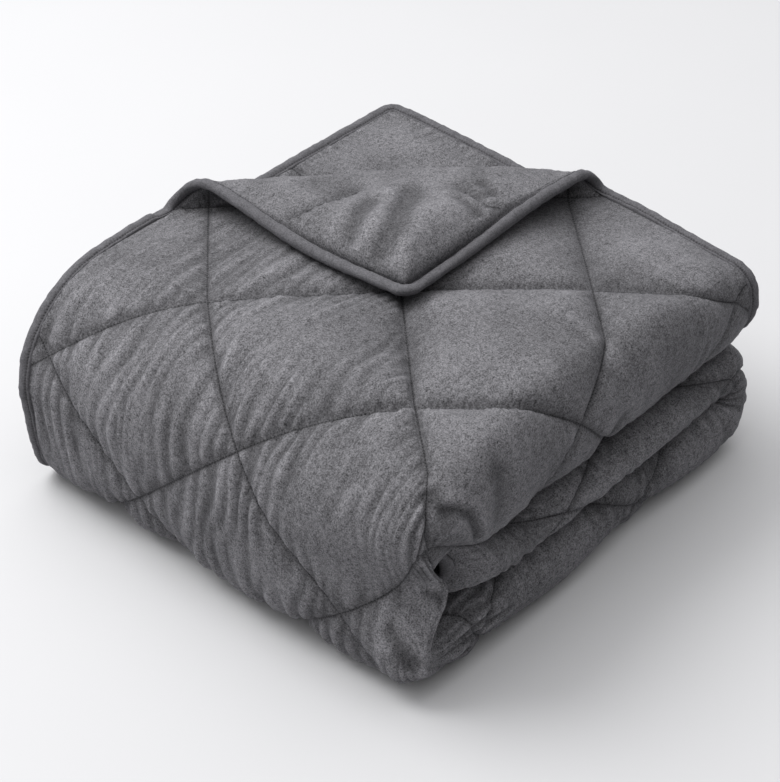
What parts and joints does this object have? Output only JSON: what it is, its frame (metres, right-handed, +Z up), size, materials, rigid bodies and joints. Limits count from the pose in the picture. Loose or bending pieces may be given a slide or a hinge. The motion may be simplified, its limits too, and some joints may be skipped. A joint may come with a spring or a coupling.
{
  "type": "folded weighted blanket",
  "caption": "Quilted weighted blanket in brushed cloth, folded into a thick square stack with one corner turned back and a bound edge all round.",
  "frame": {"origin": "middle of the folded stack's footprint, on the surface that it rests on", "axes": "+Z up; -Y towards the rolled side of the half fold, -X towards the big turn of the lengthwise fold"},
  "size_m": [0.6092, 0.5625, 0.3169],
  "materials": {
    "brushed_cloth": "matt brushed nap, charcoal grey",
    "binding_cloth": "matt folded tape, charcoal grey"
  },
  "bodies": {
    "root": {"quilted_panel": "brushed_cloth", "edge_binding": "binding_cloth"}
  },
  "joints": []
}
